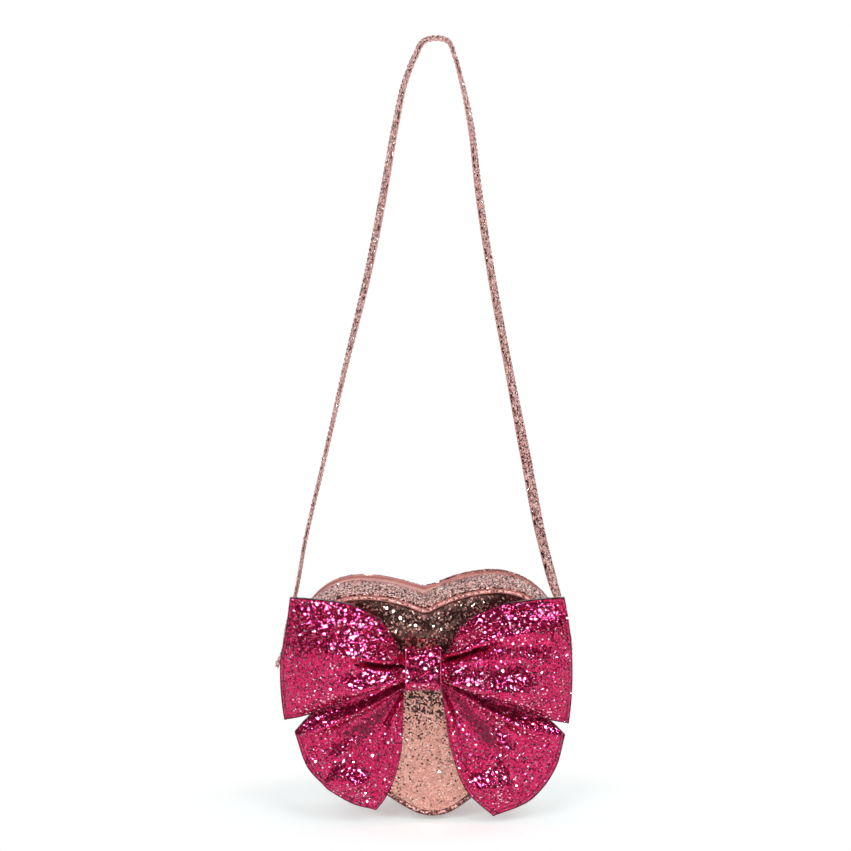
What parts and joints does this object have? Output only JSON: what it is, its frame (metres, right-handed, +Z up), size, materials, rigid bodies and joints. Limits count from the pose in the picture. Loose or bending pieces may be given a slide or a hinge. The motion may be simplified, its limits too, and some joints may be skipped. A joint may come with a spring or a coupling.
{
  "type": "heart-shaped shoulder bag",
  "caption": "Heart-shaped glitter shoulder bag with a deep gusset, a zip over its top, a large puffed bow with two tails on its front and a long narrow strap, hanging from the strap.",
  "frame": {"origin": "underside of the middle of the strap's top, where a hook or a shoulder carries the hanging bag", "axes": "+Z up along the hanging bag, -Y towards the side with the bow, +X to the right of someone who looks at the bow"},
  "size_m": [0.2006, 0.0841, 0.5256],
  "materials": {
    "panel": "chunky glitter, champagne with dark flakes",
    "gusset": "chunky glitter, dusty rose",
    "smooth_pink": "smooth, matte",
    "coil": "moulded coil, satin",
    "foam": "soft open foam",
    "lining": "plain woven, matte",
    "bow": "chunky glitter, magenta",
    "metal": "polished, rose gold"
  },
  "bodies": {
    "strap": {"strap_face": "gusset", "strap_backing": "smooth_pink"},
    "bag": {"strap_end_face_left": "gusset", "strap_end_face_right": "gusset", "strap_end_backing_left": "smooth_pink", "strap_end_backing_right": "smooth_pink", "front_panel": "panel", "front_padding": "foam", "front_lining": "lining", "front_piping": "smooth_pink", "back_panel": "gusset", "back_padding": "foam", "back_lining": "lining", "back_piping": "smooth_pink", "gusset_band": "gusset", "gusset_stiffener": "foam", "gusset_lining": "lining", "zip_strip_front": "gusset", "zip_strip_back": "gusset", "zip_tape_front": "smooth_pink", "zip_tape_back": "smooth_pink", "zip_coil_front": "coil", "zip_coil_back": "coil", "zip_end_tab_left": "gusset", "zip_end_tab_right": "gusset", "bow_loop_left": "bow", "bow_loop_right": "bow", "bow_padding_left": "foam", "bow_padding_right": "foam", "bow_tail_left": "bow", "bow_tail_right": "bow", "bow_knot": "bow"},
    "slider": {"zip_slider": "metal", "zip_slider_crown": "metal"},
    "pull": {"zip_pull": "metal"}
  },
  "joints": [
    {"name": "bag_swing", "type": "hinge", "parent": "strap", "child": "bag", "pos_m": [-0.0066, 0, -0.40039], "axis": [0.999, 0, 0.0436], "range_deg": [-25, 30]},
    {"name": "slider_travel", "type": "hinge", "parent": "bag", "child": "slider", "pos_m": [0.0393, 0.0227, -0.40875], "axis": [0, -1, 0], "range_deg": [0, 86.5]},
    {"name": "pull_swing", "type": "hinge", "parent": "slider", "child": "pull", "pos_m": [0.09108, 0.0227, -0.40875], "axis": [0, -1, 0], "range_deg": [0, 150]}
  ]
}
